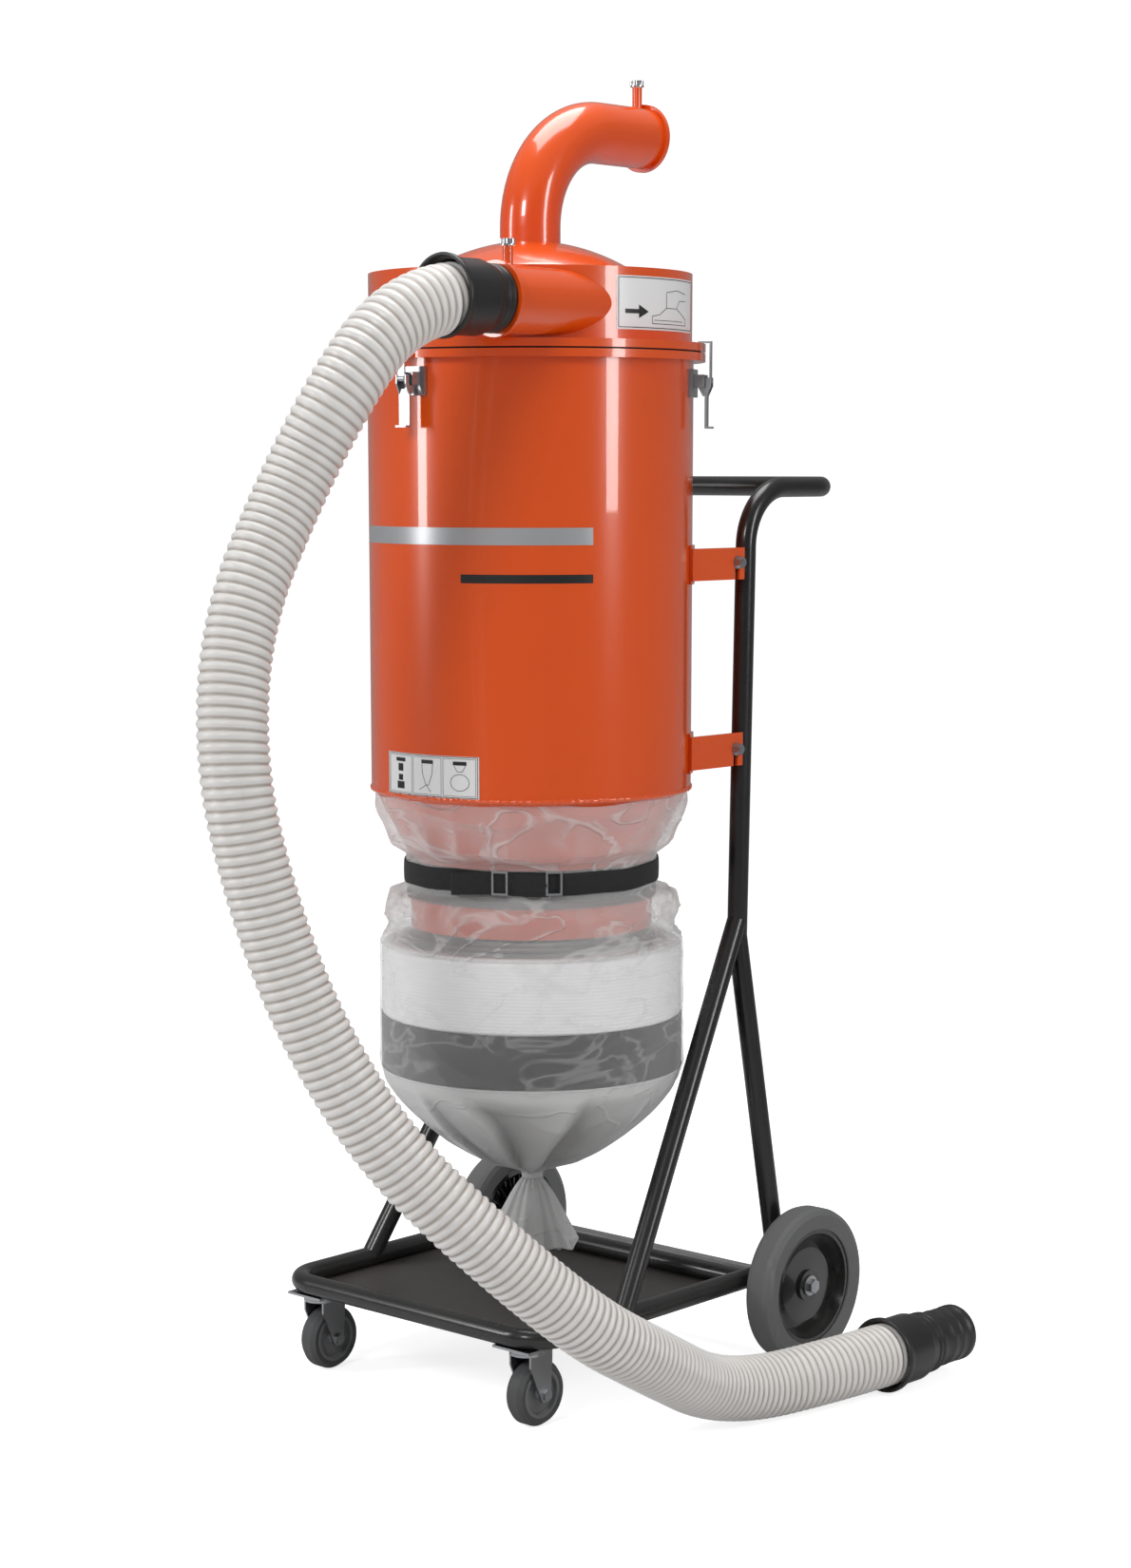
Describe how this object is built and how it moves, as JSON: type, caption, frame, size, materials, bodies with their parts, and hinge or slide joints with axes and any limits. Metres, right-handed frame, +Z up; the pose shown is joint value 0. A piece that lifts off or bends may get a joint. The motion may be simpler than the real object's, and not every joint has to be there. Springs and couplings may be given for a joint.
{
  "type": "cyclone dust pre-separator on a trolley",
  "caption": "Cyclone dust pre-separator drum on a two-wheel trolley with casters, tangential inlet hose, outlet elbow, toggle-latched lid and a film dust bag under the cone.",
  "frame": {"origin": "middle of the footprint of the trolley and drum at floor level, measured without the hose", "axes": "+Z up, the front with the swivel casters towards -Y, the push handle and big wheels towards +Y, +X towards the right"},
  "size_m": [0.7333, 1.0531, 1.6013],
  "materials": {
    "orange": "gloss powder coat",
    "inner_orange": "gloss powder coat",
    "black_tube": "semi-gloss powder coat",
    "tray_paint": "satin powder coat",
    "axle_steel": "turned",
    "tyre_grey": "solid grey rubber",
    "hub_black": "gloss",
    "zinc": "bright zinc plate",
    "knob_chrome": "polished",
    "caster_rubber": "matte",
    "caster_grey": "matte",
    "rubber_black": "matte",
    "hose_ivory": "ribbed, satin",
    "cuff_black": "satin",
    "film_clear": "thin milky polythene film",
    "film_white": "folded film",
    "ring_grey": "matte",
    "webbing": "woven webbing",
    "tie_natural": "natural",
    "label_white": "printed"
  },
  "bodies": {
    "frame": {"drum_shell": "orange", "cone_shell": "orange", "lid_shell": "orange", "outlet_elbow": "orange", "inlet_pipe": "orange", "screw_bosses": "orange", "drum_brackets": "orange", "vortex_tube": "inner_orange", "handle_tube": "black_tube", "upright_tubes": "black_tube", "leg_tubes": "black_tube", "brace_tubes": "black_tube", "base_front_tube": "black_tube", "base_side_tubes": "black_tube", "base_rear_tube": "black_tube", "frame_lugs": "black_tube", "tray": "tray_paint", "wheel_axle": "axle_steel", "axle_bolts": "zinc", "bracket_bolts": "zinc", "bracket_washers": "zinc", "bracket_nuts": "zinc", "latch_bases": "zinc", "strap_buckles": "zinc", "caster_plates": "zinc", "neck_band": "rubber_black", "lid_gasket": "rubber_black", "hose": "hose_ivory", "hose_cuff_inlet": "cuff_black", "hose_cuff_free": "cuff_black", "film_upper": "film_clear", "lower_bag": "film_clear", "bag_tail": "film_clear", "film_stack": "film_white", "cassette_ring": "ring_grey", "strap": "webbing", "bag_tie": "tie_natural", "lid_label": "label_white", "drum_label": "label_white"},
    "latch_lever_1": {"latch_lever_1": "zinc"},
    "latch_lever_2": {"latch_lever_2": "zinc"},
    "latch_lever_3": {"latch_lever_3": "zinc"},
    "latch_claw_1": {"latch_claw_1": "zinc"},
    "latch_claw_2": {"latch_claw_2": "zinc"},
    "latch_claw_3": {"latch_claw_3": "zinc"},
    "thumb_screw_outlet": {"thumb_screw_outlet": "knob_chrome"},
    "thumb_screw_inlet": {"thumb_screw_inlet": "knob_chrome"},
    "flap": {"discharge_flap": "rubber_black"},
    "wheel_right": {"tyre_right": "tyre_grey", "hub_right": "hub_black"},
    "wheel_left": {"tyre_left": "tyre_grey", "hub_left": "hub_black"},
    "caster_swivel_right": {"caster_fork_right": "zinc", "caster_axle_right": "zinc"},
    "caster_swivel_left": {"caster_fork_left": "zinc", "caster_axle_left": "zinc"},
    "caster_wheel_right": {"caster_tyre_right": "caster_rubber", "caster_core_right": "caster_grey"},
    "caster_wheel_left": {"caster_tyre_left": "caster_rubber", "caster_core_left": "caster_grey"}
  },
  "joints": [
    {"name": "latch_lever_1_open", "type": "hinge", "parent": "frame", "child": "latch_lever_1", "pos_m": [0, -0.298, 1.23], "axis": [-1, 0, 0], "range_deg": [0, 100]},
    {"name": "latch_claw_1_swing", "type": "hinge", "parent": "latch_lever_1", "child": "latch_claw_1", "pos_m": [0, -0.307, 1.23], "axis": [-1, 0, 0], "range_deg": [-140, 0]},
    {"name": "latch_lever_2_open", "type": "hinge", "parent": "frame", "child": "latch_lever_2", "pos_m": [0.18186, 0.017, 1.23], "axis": [0.5, -0.866, 0], "range_deg": [0, 100]},
    {"name": "latch_claw_2_swing", "type": "hinge", "parent": "latch_lever_2", "child": "latch_claw_2", "pos_m": [0.18966, 0.0215, 1.23], "axis": [0.5, -0.866, 0], "range_deg": [-140, 0]},
    {"name": "latch_lever_3_open", "type": "hinge", "parent": "frame", "child": "latch_lever_3", "pos_m": [-0.18186, 0.017, 1.23], "axis": [0.5, 0.866, 0], "range_deg": [0, 100]},
    {"name": "latch_claw_3_swing", "type": "hinge", "parent": "latch_lever_3", "child": "latch_claw_3", "pos_m": [-0.18966, 0.0215, 1.23], "axis": [0.5, 0.866, 0], "range_deg": [-140, 0]},
    {"name": "outlet_screw_turn", "type": "hinge", "parent": "frame", "child": "thumb_screw_outlet", "pos_m": [0, 0.109, 1.59], "axis": [0, 0, 1], "range_deg": [0, 720]},
    {"name": "inlet_screw_turn", "type": "hinge", "parent": "frame", "child": "thumb_screw_inlet", "pos_m": [0.147, -0.286, 1.37], "axis": [0, 0, 1], "range_deg": [0, 720]},
    {"name": "discharge_flap_open", "type": "hinge", "parent": "frame", "child": "flap", "pos_m": [0, 0.024, 0.557], "axis": [-1, 0, 0], "range_deg": [-40, 0]},
    {"name": "rear_wheel_right_spin", "type": "hinge", "parent": "frame", "child": "wheel_right", "pos_m": [0.255, 0.147, 0.1], "axis": [1, 0, 0], "continuous": true},
    {"name": "caster_right_swivel", "type": "hinge", "parent": "frame", "child": "caster_swivel_right", "pos_m": [0.177, -0.291, 0.09], "axis": [0, 0, 1], "continuous": true},
    {"name": "caster_right_spin", "type": "hinge", "parent": "caster_swivel_right", "child": "caster_wheel_right", "pos_m": [0.177, -0.277, 0.04], "axis": [1, 0, 0], "continuous": true},
    {"name": "rear_wheel_left_spin", "type": "hinge", "parent": "frame", "child": "wheel_left", "pos_m": [-0.255, 0.147, 0.1], "axis": [1, 0, 0], "continuous": true},
    {"name": "caster_left_swivel", "type": "hinge", "parent": "frame", "child": "caster_swivel_left", "pos_m": [-0.177, -0.291, 0.09], "axis": [0, 0, 1], "continuous": true},
    {"name": "caster_left_spin", "type": "hinge", "parent": "caster_swivel_left", "child": "caster_wheel_left", "pos_m": [-0.177, -0.277, 0.04], "axis": [1, 0, 0], "continuous": true}
  ],
  "couplings": [
    {"joint": "latch_claw_1_swing", "follows": "latch_lever_1_open", "ratio": -1.4},
    {"joint": "latch_claw_2_swing", "follows": "latch_lever_2_open", "ratio": -1.4},
    {"joint": "latch_claw_3_swing", "follows": "latch_lever_3_open", "ratio": -1.4}
  ]
}
